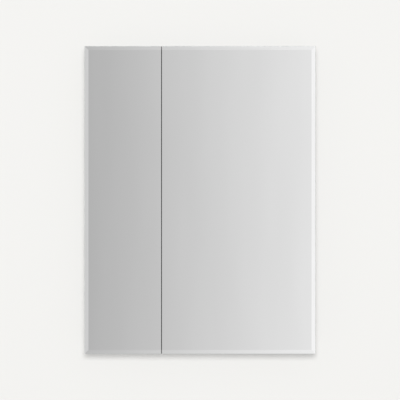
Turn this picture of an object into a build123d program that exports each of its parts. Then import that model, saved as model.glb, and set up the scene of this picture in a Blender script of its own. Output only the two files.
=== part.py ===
from build123d import *
import os

# Two-door mirrored medicine cabinet, in millimetres.
# +X is right, the mirrors face -Y and +Z is up.
# The origin is the centre of the four wall holes, on the back face.

# Overall size
FACE_WIDTH = 762.0
FACE_HEIGHT = 1016.0
DEPTH = 120.0
NARROW_DOOR_SHARE = 1 / 3
DOOR_SPACING = 2.2

# Front mirrors
GLASS = 5.0
BEVEL_WIDTH = 12.7
BEVEL_DEPTH = 1.6
GLASS_OVERHANG = 4.0
TAPE = 1.0
TAPE_WIDTH = 14.0
TAPE_INSET = 4.0

# Door frames
FRAME = 14.0
FRAME_WALL = 1.5
HINGE_STILE = 44.0
STILE = 24.0
REBATE_WIDTH = 5.0
REBATE_DEPTH = 3.0
SIDE_CLEARANCE = 0.5
CAP = 1.2
CAP_PLUG = 6.0
CAP_FIT = 0.15
FRAME_SCREW_RADIUS = 1.9
FRAME_SCREW_HEAD = 3.5
FRAME_SCREW_HEAD_HEIGHT = 2.5
FRAME_SCREW_REACH = 22.0
DRIVER_CLEARANCE = 0.7

# Soft seals behind the gap between the doors
SEAL = 1.2
SEAL_SLIT = 0.4

# Cabinet body
DOOR_CLEARANCE = 2.0
BODY_INSET = 9.0
WALL = 12.0
PANEL_WALL = 1.6
BACK_SHEET = 1.5
BACK_REBATE = 8.0
HOLE_FIT = 0.05
SLACK = 0.1

# Keys inside the mitred corners, between the two grooves
KEY_LEG = 45.0
KEY_IN = 2.0
KEY_THICK = 8.0
KEY_Y = (-64.0, -34.0)

# Flush rivets of the back sheet
RIVET_RADIUS = 1.6
RIVET_HEAD = 3.0
RIVET_SINK = 1.2
RIVET_LENGTH = 8.0
RIVET_INSET = 4.0
RIVETS_UPRIGHT = (-420.0, -140.0, 140.0, 420.0)
RIVETS_LEVEL = (-240.0, 0.0, 240.0)

# Mirror inside the cabinet, on strips of foam tape
MIRROR_TAPE = 2.0
INNER_MIRROR = 4.0
INNER_MIRROR_GAP = 2.0
STRIPS = 4
STRIP_SPACING = 220.0
STRIP_SHORT = 15.0

# Wall fixing
WALL_HOLE_RADIUS = 3.25
WALL_HOLES_X = 406.4
WALL_HOLES_Z = 800.0
SPACER_RADIUS = 9.0
SPACER_FLANGE = 12.0
SPACER_HEAD = 1.2
SPACER_FIT = 0.3

# Shelves and the grooves that carry their clips
SHELF = 6.0
SHELF_HEIGHTS = (-290.0, -97.0, 97.0, 290.0)
SHELF_BACK = -10.0
SHELF_FRONT = -82.0
GROOVES = (-22.0, -76.0)
GROOVE_MOUTH = 3.2
GROOVE_WIDTH = 7.0
GROOVE_DEPTH = 4.4
SHELF_GAP = 2.0
SHELF_CHAMFER = 0.8
CLIP_WIDTH = 14.0
CLIP_THICK = 3.0
CLIP_REACH = 16.0
CLIP_DROP = 22.0
CLIP_SCREW_DROP = 13.0
CLIP_SCREW_RADIUS = 1.5
CLIP_SCREW_HEAD = 2.8
CLIP_SCREW_HEAD_HEIGHT = 2.0
CLIP_SCREW_REACH = 4.0
PAD = 1.0
PAD_HALF = 5.0
PAD_U = (-15.0, -4.0)
NUT_WIDTH = 6.6
NUT = 2.4

# Hinges: u runs outwards from the inner side wall, v runs forwards from the body's front edge
HINGE_LEVELS = {"bottom": -400.0, "middle": 0.0, "top": 400.0}
PIVOT_U = 13.0
PIVOT_V = 10.0
PIN_RADIUS = 2.0
EYE_RADIUS = 3.8
ARM_HALF = 4.0
POCKET_HALF = 5.0
BLOCK_HALF = 14.0
FLANGE_HALF = 24.0
PIN_FIT = 0.02
EYE_FIT = 0.06
ARM_PROFILE = [(-1.5, -44), (-1.5, -8), (-2.5, -3), (-2.5, 3), (1.5, 6.4), (PIVOT_U, PIVOT_V - EYE_RADIUS),
               (PIVOT_U, PIVOT_V + EYE_RADIUS), (-1, 13.2), (-8.5, 6), (-8.5, -34)]
ARM_ROUND = 1.4
ARM_PLATE = 3.0
PLATE_V = (-50.0, -6.0)
PLATE_HALF = 20.0
PLATE_ROUND = 4.0
ARM_SCREW_V = (-42.0, -12.0)
ARM_SCREW_Z = 13.0
ARM_SCREW_RADIUS = 2.0
ARM_SCREW_HEAD = 3.8
ARM_SCREW_HEAD_HEIGHT = 2.2
ARM_SCREW_REACH = 5.5
POCKET_U = -10.0
BLOCK_FIT = 0.1
BLOCK_V = 14.0
BLOCK_CHAMFER = 1.0
FLANGE_U = (-22.0, -3.0)
FLANGE_V = 0.5
BLOCK_SCREW_U = -12.5
BLOCK_SCREW_Z = 19.0
BLOCK_SCREW_RADIUS = 1.6
BLOCK_SCREW_HEAD = 3.2
BLOCK_SCREW_HEAD_HEIGHT = 1.6
BLOCK_SCREW_REACH = 10.0
SCREW_FIT = 0.15
WASHER_INSET = 0.2
WASHER_GAP = 0.05

# Magnetic catches and bumpers
CATCH_OFFSET = 19.0
MAGNET_RADIUS = 3.5
MAGNET_LENGTH = 5.0
CUP_RADIUS = 4.3
CUP_FLANGE = 0.6
CUP_RIM = 1.0
CUP_DEPTH = 8.0
CUP_POCKET = 6.0
STRIKE_RADIUS = 6.0
STRIKE = 1.0
BUMPER_X = (-300.0, -185.0, -60.0, 150.0)
BUMPER_RADIUS = 4.0
BUMPER = 1.7
BUMPER_ROUND = 1.2

# Sizes that follow from the ones above
FACE_X = FACE_WIDTH / 2
FACE_Z = FACE_HEIGHT / 2
SPLIT_X = FACE_X * (2 * NARROW_DOOR_SHARE - 1)
GLASS_BACK = GLASS - DEPTH
FRAME_FRONT = GLASS_BACK + TAPE
DOOR_BACK = FRAME_FRONT + FRAME
BODY_FRONT = DOOR_BACK + DOOR_CLEARANCE
BODY_X = FACE_X - BODY_INSET
BODY_Z = FACE_Z - BODY_INSET
INNER_X = BODY_X - WALL
INNER_Z = BODY_Z - WALL
FRAME_X = FACE_X - GLASS_OVERHANG
FRAME_Z = FACE_Z - GLASS_OVERHANG
EDGE_U = FRAME_X - INNER_X
BACK_V = DOOR_CLEARANCE
FRONT_V = DOOR_CLEARANCE + FRAME
RAIL_Z = FRAME_Z - STILE / 2
PORT_V = 10.0
CATCH_Z = BODY_Z - WALL / 2
MIRROR_BACK = -BACK_SHEET - MIRROR_TAPE
MIRROR_FRONT = MIRROR_BACK - INNER_MIRROR
INNER_MIRROR_X = INNER_X - INNER_MIRROR_GAP
INNER_MIRROR_Z = INNER_Z - INNER_MIRROR_GAP
SHEET_X = INNER_X + BACK_REBATE - SIDE_CLEARANCE
SHEET_Z = INNER_Z + BACK_REBATE - SIDE_CLEARANCE
BLOCK_U = (-14.0, EDGE_U)
ARM_SCREW_Y = [BODY_FRONT - v for v in ARM_SCREW_V]
UNDERSIDES = [height - SHELF / 2 for height in SHELF_HEIGHTS]
SIDES = {"left": -1, "right": 1}
MEETING_X = {"left": SPLIT_X - DOOR_SPACING / 2, "right": SPLIT_X + DOOR_SPACING / 2}
SEAL_X = {"left": SPLIT_X - SEAL_SLIT / 2, "right": SPLIT_X + SEAL_SLIT / 2}
CATCH_X = {"left": MEETING_X["left"] - CATCH_OFFSET, "right": MEETING_X["right"] + CATCH_OFFSET}
CATCH_SPOTS = [(x, z) for x in CATCH_X.values() for z in (-CATCH_Z, CATCH_Z)]
RIVET_SPOTS = (
    [(x, z) for x in (-INNER_X - RIVET_INSET, INNER_X + RIVET_INSET) for z in RIVETS_UPRIGHT]
    + [(x, z) for x in RIVETS_LEVEL for z in (-INNER_Z - RIVET_INSET, INNER_Z + RIVET_INSET)]
)
FACING_FRONT = (90, 0, 0)
ON_BASE = (Align.CENTER, Align.CENTER, Align.MIN)

os.makedirs("parts", exist_ok=True)


def keep(piece, name):
    """Label a finished piece and write it."""
    piece.part.label = name
    export_step(piece.part, f"parts/{name}.step")


def patch(a, b, mode=Mode.ADD):
    """A rectangle between two corner points, in the open sketch."""
    with Locations(((a[0] + b[0]) / 2, (a[1] + b[1]) / 2)):
        Rectangle(abs(b[0] - a[0]), abs(b[1] - a[1]), mode=mode)


def slab(x, y, z):
    """A plain block between two corners, each given as a pair."""
    with BuildPart() as block:
        with BuildSketch(Plane.XY.offset(z[0])):
            patch((x[0], y[0]), (x[1], y[1]))
        extrude(amount=z[1] - z[0])
    return block


def turned(plane, spots, steps):
    """Round pieces along the plane's normal; each step is a start, an end and a radius."""
    with BuildPart() as pieces:
        for start, end, radius in steps:
            with BuildSketch(plane.offset(start)):
                with Locations(*spots):
                    Circle(radius)
            extrude(amount=end - start)
    return pieces


def at_wall(side, u, v):
    """The XY point at u outwards from the inner side wall and v forwards of the body."""
    return (side * (INNER_X + u), BODY_FRONT - v)


def side_plane(side):
    """The inner side wall's plane, facing out of the cabinet; its sketch x is side * y."""
    return Plane(origin=(side * INNER_X, 0, 0), x_dir=(0, side, 0), z_dir=(side, 0, 0))


# ---------------------------------------------------------------- cabinet body


def side_panel(side):
    """Hollow side extrusion with two clip grooves, mitred at both ends."""
    inner = side * INNER_X
    outer = side * BODY_X
    screws = [(side * y, z + dz) for y in ARM_SCREW_Y for z in HINGE_LEVELS.values()
              for dz in (-ARM_SCREW_Z, ARM_SCREW_Z)]
    with BuildPart() as panel:
        with BuildSketch(Plane.XY.offset(-BODY_Z)):
            patch((inner, BODY_FRONT), (outer, 0))
            patch((inner + side * PANEL_WALL, BODY_FRONT + PANEL_WALL),
                  (outer - side * PANEL_WALL, -BACK_SHEET - PANEL_WALL), Mode.SUBTRACT)
            patch((inner, -BACK_SHEET), (inner + side * BACK_REBATE, 0), Mode.SUBTRACT)
            for y in GROOVES:
                half = GROOVE_WIDTH / 2 + PANEL_WALL
                patch((inner, y - half), (inner + side * (GROOVE_DEPTH + PANEL_WALL), y + half))
                patch((inner, y - GROOVE_MOUTH / 2), (inner + side * PANEL_WALL, y + GROOVE_MOUTH / 2),
                      Mode.SUBTRACT)
                patch((inner + side * PANEL_WALL, y - GROOVE_WIDTH / 2),
                      (inner + side * GROOVE_DEPTH, y + GROOVE_WIDTH / 2), Mode.SUBTRACT)
        extrude(amount=2 * BODY_Z)
        for end in (-1, 1):
            split(bisect_by=Plane(origin=(inner, 0, end * INNER_Z), z_dir=(side, 0, -end)),
                  keep=Keep.TOP)
        with BuildSketch(side_plane(side)):
            with Locations(*screws):
                Circle(ARM_SCREW_RADIUS + HOLE_FIT)
        extrude(amount=PANEL_WALL, mode=Mode.SUBTRACT)
        with BuildSketch(Plane.XZ.offset(BACK_SHEET)):
            with Locations(*[spot for spot in RIVET_SPOTS if spot[0] * side > INNER_X]):
                Circle(RIVET_RADIUS + HOLE_FIT)
        extrude(amount=PANEL_WALL, mode=Mode.SUBTRACT)
    return panel


def end_panel(end):
    """Hollow top or bottom extrusion, mitred at both ends, drilled for the catches."""
    inner = end * INNER_Z
    outer = end * BODY_Z
    with BuildPart() as panel:
        with BuildSketch(Plane.YZ.offset(-BODY_X)):
            patch((BODY_FRONT, inner), (0, outer))
            patch((BODY_FRONT + PANEL_WALL, inner + end * PANEL_WALL),
                  (-BACK_SHEET - PANEL_WALL, outer - end * PANEL_WALL), Mode.SUBTRACT)
            patch((-BACK_SHEET, inner), (0, inner + end * BACK_REBATE), Mode.SUBTRACT)
        extrude(amount=2 * BODY_X)
        for side in (-1, 1):
            split(bisect_by=Plane(origin=(side * INNER_X, 0, inner), z_dir=(-side, 0, end)),
                  keep=Keep.TOP)
        with BuildSketch(Plane.XZ.offset(BACK_SHEET)):
            with Locations(*[spot for spot in RIVET_SPOTS if spot[1] * end > INNER_Z]):
                Circle(RIVET_RADIUS + HOLE_FIT)
        extrude(amount=PANEL_WALL, mode=Mode.SUBTRACT)
        with BuildSketch(Plane.XZ.offset(-BODY_FRONT)):
            with Locations(*[spot for spot in CATCH_SPOTS if spot[1] * end > 0]):
                Circle(CUP_RADIUS + SLACK)
        extrude(amount=-PANEL_WALL, mode=Mode.SUBTRACT)
    return panel


for side_name, side in SIDES.items():
    keep(side_panel(side), f"side_panel_{side_name}")
keep(end_panel(1), "top_panel")
keep(end_panel(-1), "bottom_panel")

# L-shaped keys inside the mitred corners
with BuildPart() as corner_keys:
    with BuildSketch(Plane.XZ.offset(-KEY_Y[1])):
        for side in (-1, 1):
            for end in (-1, 1):
                near = (side * (INNER_X + KEY_IN), end * (INNER_Z + KEY_IN))
                far = (near[0] + side * KEY_THICK, near[1] + end * KEY_THICK)
                patch((near[0], far[1] - end * KEY_LEG), far)
                patch((far[0] - side * KEY_LEG, near[1]), far)
    extrude(amount=KEY_Y[1] - KEY_Y[0])
keep(corner_keys, "corner_keys")

# Back sheet in the panels' rebate, with countersinks for its flush rivets
with BuildPart() as back_panel:
    with BuildSketch(Plane.XZ):
        Rectangle(2 * SHEET_X, 2 * SHEET_Z)
        with GridLocations(WALL_HOLES_X, WALL_HOLES_Z, 2, 2):
            Circle(WALL_HOLE_RADIUS, mode=Mode.SUBTRACT)
        with Locations(*RIVET_SPOTS):
            Circle(RIVET_RADIUS + HOLE_FIT, mode=Mode.SUBTRACT)
    extrude(amount=BACK_SHEET)
    with Locations(*[(x, 0, z) for x, z in RIVET_SPOTS]):
        Cone(RIVET_HEAD + HOLE_FIT, RIVET_RADIUS + HOLE_FIT, RIVET_SINK, rotation=FACING_FRONT, align=ON_BASE,
             mode=Mode.SUBTRACT)
keep(back_panel, "back_panel")

with BuildPart() as back_panel_rivets:
    with Locations(*[(x, 0, z) for x, z in RIVET_SPOTS]):
        Cone(RIVET_HEAD, RIVET_RADIUS, RIVET_SINK, rotation=FACING_FRONT, align=ON_BASE)
        Cylinder(RIVET_RADIUS, RIVET_LENGTH, rotation=FACING_FRONT, align=ON_BASE)
keep(back_panel_rivets, "back_panel_rivets")

# Mirror inside the cabinet, taped to the back sheet
with BuildPart() as inner_mirror:
    with BuildSketch(Plane.XZ.offset(-MIRROR_BACK)):
        Rectangle(2 * INNER_MIRROR_X, 2 * INNER_MIRROR_Z)
        with GridLocations(WALL_HOLES_X, WALL_HOLES_Z, 2, 2):
            Circle(SPACER_RADIUS + SPACER_FIT, mode=Mode.SUBTRACT)
    extrude(amount=INNER_MIRROR)
keep(inner_mirror, "inner_mirror")

with BuildPart() as inner_mirror_tape:
    with BuildSketch(Plane.XZ.offset(BACK_SHEET)):
        with GridLocations(STRIP_SPACING, 0, STRIPS, 1):
            Rectangle(TAPE_WIDTH, 2 * (INNER_MIRROR_Z - STRIP_SHORT))
    extrude(amount=MIRROR_TAPE)
keep(inner_mirror_tape, "inner_mirror_tape")

# Flanged spacers that carry the wall screws through the mirror
with BuildPart() as wall_spacers:
    for start, end, radius in ((BACK_SHEET, -MIRROR_FRONT, SPACER_RADIUS),
                               (-MIRROR_FRONT, SPACER_HEAD - MIRROR_FRONT, SPACER_FLANGE)):
        with BuildSketch(Plane.XZ.offset(start)):
            with GridLocations(WALL_HOLES_X, WALL_HOLES_Z, 2, 2):
                Circle(radius)
                Circle(WALL_HOLE_RADIUS, mode=Mode.SUBTRACT)
        extrude(amount=end - start)
keep(wall_spacers, "wall_spacers")

# ---------------------------------------------------------------- shelves

for number, underside in enumerate(UNDERSIDES, start=1):
    with BuildPart() as shelf:
        with BuildSketch(Plane.XY.offset(underside)):
            patch((SHELF_GAP - INNER_X, SHELF_FRONT), (INNER_X - SHELF_GAP, SHELF_BACK))
        extrude(amount=SHELF)
        chamfer(shelf.edges(), length=SHELF_CHAMFER)
    keep(shelf, f"glass_shelf_{number}")

with BuildPart() as shelf_clips:
    for y in GROOVES:
        for side in (-1, 1):
            for underside in UNDERSIDES:
                top = underside - PAD
                with BuildSketch(Plane.XZ.offset(-y - CLIP_WIDTH / 2)):
                    patch((side * INNER_X, top - CLIP_DROP), (side * (INNER_X - CLIP_THICK), top))
                    patch((side * INNER_X, top - CLIP_THICK), (side * (INNER_X - CLIP_REACH), top))
                extrude(amount=CLIP_WIDTH)
    for side in (-1, 1):
        with BuildSketch(side_plane(side)):
            with Locations(*[(side * y, z - CLIP_SCREW_DROP) for y in GROOVES for z in UNDERSIDES]):
                Circle(CLIP_SCREW_RADIUS + SLACK)
        extrude(amount=-CLIP_THICK, mode=Mode.SUBTRACT)
keep(shelf_clips, "shelf_clips")

with BuildPart() as shelf_pads:
    for underside in UNDERSIDES:
        with BuildSketch(Plane.XY.offset(underside - PAD)):
            for y in GROOVES:
                for side in (-1, 1):
                    patch((side * (INNER_X + PAD_U[0]), y - PAD_HALF),
                          (side * (INNER_X + PAD_U[1]), y + PAD_HALF))
        extrude(amount=PAD)
keep(shelf_pads, "shelf_pads")

with BuildPart() as clip_nuts:
    for side in (-1, 1):
        with BuildSketch(side_plane(side).offset(PANEL_WALL + SLACK)):
            with Locations(*[(side * y, z - CLIP_SCREW_DROP) for y in GROOVES for z in UNDERSIDES]):
                Rectangle(NUT_WIDTH, NUT_WIDTH)
                Circle(CLIP_SCREW_RADIUS + HOLE_FIT, mode=Mode.SUBTRACT)
        extrude(amount=NUT)
keep(clip_nuts, "clip_nuts")

with BuildPart() as clip_screws:
    for side in (-1, 1):
        for start, end, radius in ((-CLIP_THICK - CLIP_SCREW_HEAD_HEIGHT, -CLIP_THICK, CLIP_SCREW_HEAD),
                                   (-CLIP_THICK, CLIP_SCREW_REACH, CLIP_SCREW_RADIUS)):
            with BuildSketch(side_plane(side).offset(start)):
                with Locations(*[(side * y, z - CLIP_SCREW_DROP) for y in GROOVES for z in UNDERSIDES]):
                    Circle(radius)
            extrude(amount=end - start)
keep(clip_screws, "clip_screws")

# ---------------------------------------------------------------- catches and bumpers

with BuildPart() as catch_cups:
    with BuildSketch(Plane.XZ.offset(-BODY_FRONT)):
        with Locations(*CATCH_SPOTS):
            Circle(CUP_RADIUS)
    extrude(amount=-CUP_DEPTH)
    with BuildSketch(Plane.XZ.offset(-BODY_FRONT)):
        with Locations(*CATCH_SPOTS):
            Circle(CUP_RADIUS + CUP_RIM)
    extrude(amount=CUP_FLANGE)
    with BuildSketch(Plane.XZ.offset(CUP_FLANGE - BODY_FRONT)):
        with Locations(*CATCH_SPOTS):
            Circle(MAGNET_RADIUS + HOLE_FIT)
    extrude(amount=-CUP_POCKET, mode=Mode.SUBTRACT)
keep(catch_cups, "catch_cups")
keep(turned(Plane.XZ.offset(CUP_FLANGE - BODY_FRONT), CATCH_SPOTS, [(0, -MAGNET_LENGTH, MAGNET_RADIUS)]),
     "catch_magnets")

with BuildPart() as door_bumpers:
    with BuildSketch(Plane.XZ.offset(-BODY_FRONT)):
        with Locations(*[(x, z) for x in BUMPER_X for z in (-CATCH_Z, CATCH_Z)]):
            Circle(BUMPER_RADIUS)
    extrude(amount=BUMPER)
    front = door_bumpers.faces().filter_by(Axis.Y).group_by(Axis.Y)[0]
    fillet(front.edges(), radius=BUMPER_ROUND)
keep(door_bumpers, "door_bumpers")

# ---------------------------------------------------------------- hinge arms, fixed to the body


def hinge_arm(side, level):
    """Cranked arm: a plate on the side wall, a goose neck round the body's edge and an eye."""
    with BuildPart() as arm:
        with BuildSketch(Plane.XY.offset(level - ARM_HALF)) as neck:
            with BuildLine():
                Polyline(*[at_wall(side, u, v) for u, v in ARM_PROFILE], close=True)
            make_face()
            fillet(neck.vertices(), radius=ARM_ROUND)
            with Locations(at_wall(side, PIVOT_U, PIVOT_V)):
                Circle(EYE_RADIUS)
                Circle(PIN_RADIUS + EYE_FIT, mode=Mode.SUBTRACT)
        extrude(amount=2 * ARM_HALF)
        with BuildSketch(Plane.XY.offset(level - PLATE_HALF)):
            patch(at_wall(side, -ARM_PLATE, PLATE_V[0]), at_wall(side, 0, PLATE_V[1]))
        extrude(amount=2 * PLATE_HALF)
        with BuildSketch(side_plane(side)):
            with Locations(*[(side * y, level + dz) for y in ARM_SCREW_Y
                             for dz in (-ARM_SCREW_Z, ARM_SCREW_Z)]):
                Circle(ARM_SCREW_RADIUS + SCREW_FIT)
        extrude(amount=-ARM_PLATE, mode=Mode.SUBTRACT)
        ends = arm.edges().filter_by(Axis.X).filter_by_position(
            Axis.Y, BODY_FRONT - PLATE_V[1] - SLACK, BODY_FRONT - PLATE_V[0] + SLACK)
        corners = [edge for edge in ends if abs(edge.center().Z - level) > PLATE_HALF - SLACK]
        fillet(corners, radius=PLATE_ROUND)
    return arm


with BuildPart() as hinge_arm_screws:
    for side in SIDES.values():
        for start, end, radius in ((-ARM_PLATE - ARM_SCREW_HEAD_HEIGHT, -ARM_PLATE, ARM_SCREW_HEAD),
                                   (-ARM_PLATE, ARM_SCREW_REACH, ARM_SCREW_RADIUS)):
            with BuildSketch(side_plane(side).offset(start)):
                with Locations(*[(side * y, z + dz) for y in ARM_SCREW_Y for z in HINGE_LEVELS.values()
                                 for dz in (-ARM_SCREW_Z, ARM_SCREW_Z)]):
                    Circle(radius)
            extrude(amount=end - start)
keep(hinge_arm_screws, "hinge_arm_screws")

# ---------------------------------------------------------------- doors


def frame_section(width, at):
    """Hollow frame section with a mirror rebate; at(t, v) maps a depth t in from the outer edge."""
    lip = REBATE_WIDTH + FRAME_WALL
    patch(at(0, BACK_V), at(width, FRONT_V))
    patch(at(FRAME_WALL, BACK_V + FRAME_WALL), at(width - FRAME_WALL, FRONT_V - FRAME_WALL), Mode.SUBTRACT)
    patch(at(width - lip, BACK_V), at(width, BACK_V + REBATE_DEPTH + FRAME_WALL))
    patch(at(width - REBATE_WIDTH, BACK_V), at(width, BACK_V + REBATE_DEPTH), Mode.SUBTRACT)


def cap_section(width, at):
    """The plug of an end cap, a little smaller than the frame section's hollow."""
    fit = FRAME_WALL + CAP_FIT
    patch(at(fit, BACK_V + fit), at(width - fit, FRONT_V - fit))
    patch(at(width - REBATE_WIDTH - fit, BACK_V + fit), at(width - fit, BACK_V + REBATE_DEPTH + fit),
          Mode.SUBTRACT)


def stile(edge, inward, width, levels):
    """Upright of a door frame, notched for a hinge block at each of the levels."""
    side = -inward
    with BuildPart() as upright:
        with BuildSketch(Plane.XY.offset(-FRAME_Z)):
            frame_section(width, lambda t, v: (edge + inward * t, BODY_FRONT - v))
        extrude(amount=2 * FRAME_Z)
        for level in levels:
            with BuildSketch(Plane.XY.offset(level - BLOCK_HALF - BLOCK_FIT)):
                patch(at_wall(side, BLOCK_U[0] - BLOCK_FIT, 0),
                      at_wall(side, EDGE_U + STILE, BLOCK_V + BLOCK_FIT))
            extrude(amount=2 * (BLOCK_HALF + BLOCK_FIT), mode=Mode.SUBTRACT)
            with BuildSketch(Plane.XZ.offset(-DOOR_BACK)):
                with Locations(*[(side * (INNER_X + BLOCK_SCREW_U), level + dz)
                                 for dz in (-BLOCK_SCREW_Z, BLOCK_SCREW_Z)]):
                    Circle(BLOCK_SCREW_RADIUS + HOLE_FIT)
            extrude(amount=FRAME_WALL, mode=Mode.SUBTRACT)
        outward = Plane(origin=(edge, BODY_FRONT - PORT_V, 0), x_dir=(0, 0, 1), z_dir=(inward, 0, 0))
        for depth, length, radius in ((0, FRAME_WALL, FRAME_SCREW_HEAD + DRIVER_CLEARANCE),
                                      (width - FRAME_WALL, FRAME_WALL, FRAME_SCREW_RADIUS + SLACK)):
            with BuildSketch(outward.offset(depth)):
                with Locations((-RAIL_Z, 0), (RAIL_Z, 0)):
                    Circle(radius)
            extrude(amount=length, mode=Mode.SUBTRACT)
    return upright


def rail(x, end):
    """Cross member of a door frame, with a screw port along its middle."""
    edge = end * FRAME_Z
    middle = (BODY_FRONT - PORT_V, end * RAIL_Z)
    with BuildPart() as member:
        with BuildSketch(Plane.YZ.offset(x[0])):
            frame_section(STILE, lambda t, v: (BODY_FRONT - v, edge - end * t))
            patch((middle[0], middle[1] - FRAME_WALL / 2),
                  (FRAME_FRONT + FRAME_WALL, middle[1] + FRAME_WALL / 2))
            with Locations(middle):
                Circle(FRAME_SCREW_RADIUS + FRAME_WALL)
                Circle(FRAME_SCREW_RADIUS + SLACK, mode=Mode.SUBTRACT)
        extrude(amount=x[1] - x[0])
    return member


def end_caps(hinge_edge, meeting_edge, side):
    """Plastic caps that close the four open ends of a door's stiles."""
    with BuildPart() as caps:
        for end in (-1, 1):
            for edge, inward, width in ((hinge_edge, -side, HINGE_STILE), (meeting_edge, side, STILE)):
                with BuildSketch(Plane.XY.offset(end * FRAME_Z)):
                    patch((edge, DOOR_BACK), (edge + inward * width, FRAME_FRONT))
                    patch((edge + inward * (width - REBATE_WIDTH), DOOR_BACK),
                          (edge + inward * width, DOOR_BACK - REBATE_DEPTH), Mode.SUBTRACT)
                extrude(amount=end * CAP)
                with BuildSketch(Plane.XY.offset(end * FRAME_Z)):
                    cap_section(width, lambda t, v: (edge + inward * t, BODY_FRONT - v))
                extrude(amount=-end * CAP_PLUG)
    return caps


def front_mirror(x, hinged):
    """Mirror pane, bevelled on its three outer edges and square where the doors meet."""
    with BuildPart() as pane:
        with BuildSketch(Plane.XZ.offset(-GLASS_BACK)):
            patch((x[0], -FACE_Z), (x[1], FACE_Z))
        extrude(amount=GLASS)
        face = pane.faces().sort_by(Axis.Y)[0]
        outer = face.edges().sort_by(Axis.X)[hinged]
        ends = face.edges().filter_by(Axis.X)
        chamfer([outer, *ends], length=BEVEL_WIDTH, length2=BEVEL_DEPTH, reference=face)
    return pane


def tape_ring(x):
    """Foam tape between a door frame and its mirror."""
    with BuildPart() as ring:
        with BuildSketch(Plane.XZ.offset(-FRAME_FRONT)):
            for inset, mode in ((TAPE_INSET, Mode.ADD), (TAPE_INSET + TAPE_WIDTH, Mode.SUBTRACT)):
                patch((x[0] + inset, inset - FRAME_Z), (x[1] - inset, FRAME_Z - inset), mode)
        extrude(amount=TAPE)
    return ring


def edge_seal(stile_edge, tip):
    """Soft angle strip on a meeting stile, whose fin closes most of the gap behind the panes."""
    toward = 1 if tip > stile_edge else -1
    with BuildPart() as seal:
        with BuildSketch(Plane.XY.offset(-FACE_Z)):
            patch((stile_edge, DOOR_BACK - SEAL), (stile_edge + toward * SEAL, GLASS_BACK))
            patch((stile_edge, GLASS_BACK + SEAL), (tip, GLASS_BACK))
        extrude(amount=2 * FACE_Z)
    return seal


def door_screws(side, rail_x):
    """A door's screws: two along each rail's port at both ends, and two in each hinge block."""
    spots = [(side * (INNER_X + BLOCK_SCREW_U), level + dz) for level in HINGE_LEVELS.values()
             for dz in (-BLOCK_SCREW_Z, BLOCK_SCREW_Z)]
    with BuildPart() as screws:
        for x, inward in ((rail_x[1], -1), (rail_x[0], 1)):
            start = Plane(origin=(x, BODY_FRONT - PORT_V, 0), x_dir=(0, 0, 1), z_dir=(inward, 0, 0))
            for low, high, radius in ((-FRAME_WALL - FRAME_SCREW_HEAD_HEIGHT, -FRAME_WALL, FRAME_SCREW_HEAD),
                                      (-FRAME_WALL, FRAME_SCREW_REACH, FRAME_SCREW_RADIUS)):
                with BuildSketch(start.offset(low)):
                    with Locations((-RAIL_Z, 0), (RAIL_Z, 0)):
                        Circle(radius)
                extrude(amount=high - low)
        for low, high, radius in ((-BLOCK_SCREW_HEAD_HEIGHT, 0, BLOCK_SCREW_HEAD),
                                  (0, BLOCK_SCREW_REACH, BLOCK_SCREW_RADIUS)):
            with BuildSketch(Plane.XZ.offset(FLANGE_V - BODY_FRONT + low)):
                with Locations(*spots):
                    Circle(radius)
            extrude(amount=high - low)
    return screws


def hinge_block(side, level):
    """Clevis that fills the stile's notch, with a flange on the door's back."""
    with BuildPart() as block:
        with BuildSketch(Plane.XY.offset(level - BLOCK_HALF)):
            patch(at_wall(side, BLOCK_U[0], BACK_V), at_wall(side, BLOCK_U[1], BLOCK_V))
        extrude(amount=2 * BLOCK_HALF)
        with BuildSketch(Plane.XY.offset(level - FLANGE_HALF)):
            patch(at_wall(side, FLANGE_U[0], FLANGE_V), at_wall(side, FLANGE_U[1], BACK_V))
        extrude(amount=2 * FLANGE_HALF)
        with BuildSketch(Plane.XY.offset(level - POCKET_HALF)):
            patch(at_wall(side, POCKET_U, 0), at_wall(side, EDGE_U + STILE, FRONT_V))
        extrude(amount=2 * POCKET_HALF, mode=Mode.SUBTRACT)
        with BuildSketch(Plane.XY.offset(level - BLOCK_HALF)):
            with Locations(at_wall(side, PIVOT_U, PIVOT_V)):
                Circle(PIN_RADIUS + PIN_FIT)
        extrude(amount=2 * BLOCK_HALF, mode=Mode.SUBTRACT)
        with BuildSketch(Plane.XZ.offset(FLANGE_V - BODY_FRONT)):
            with Locations(*[(side * (INNER_X + BLOCK_SCREW_U), level + dz)
                             for dz in (-BLOCK_SCREW_Z, BLOCK_SCREW_Z)]):
                Circle(BLOCK_SCREW_RADIUS + SCREW_FIT)
        extrude(amount=BACK_V - FLANGE_V, mode=Mode.SUBTRACT)
        corner = [edge for edge in block.edges().filter_by(Axis.Z)
                  if abs(abs(edge.center().X) - FRAME_X) < SLACK and abs(edge.center().Y - DOOR_BACK) < SLACK]
        chamfer(corner, length=BLOCK_CHAMFER)
    return block


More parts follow.
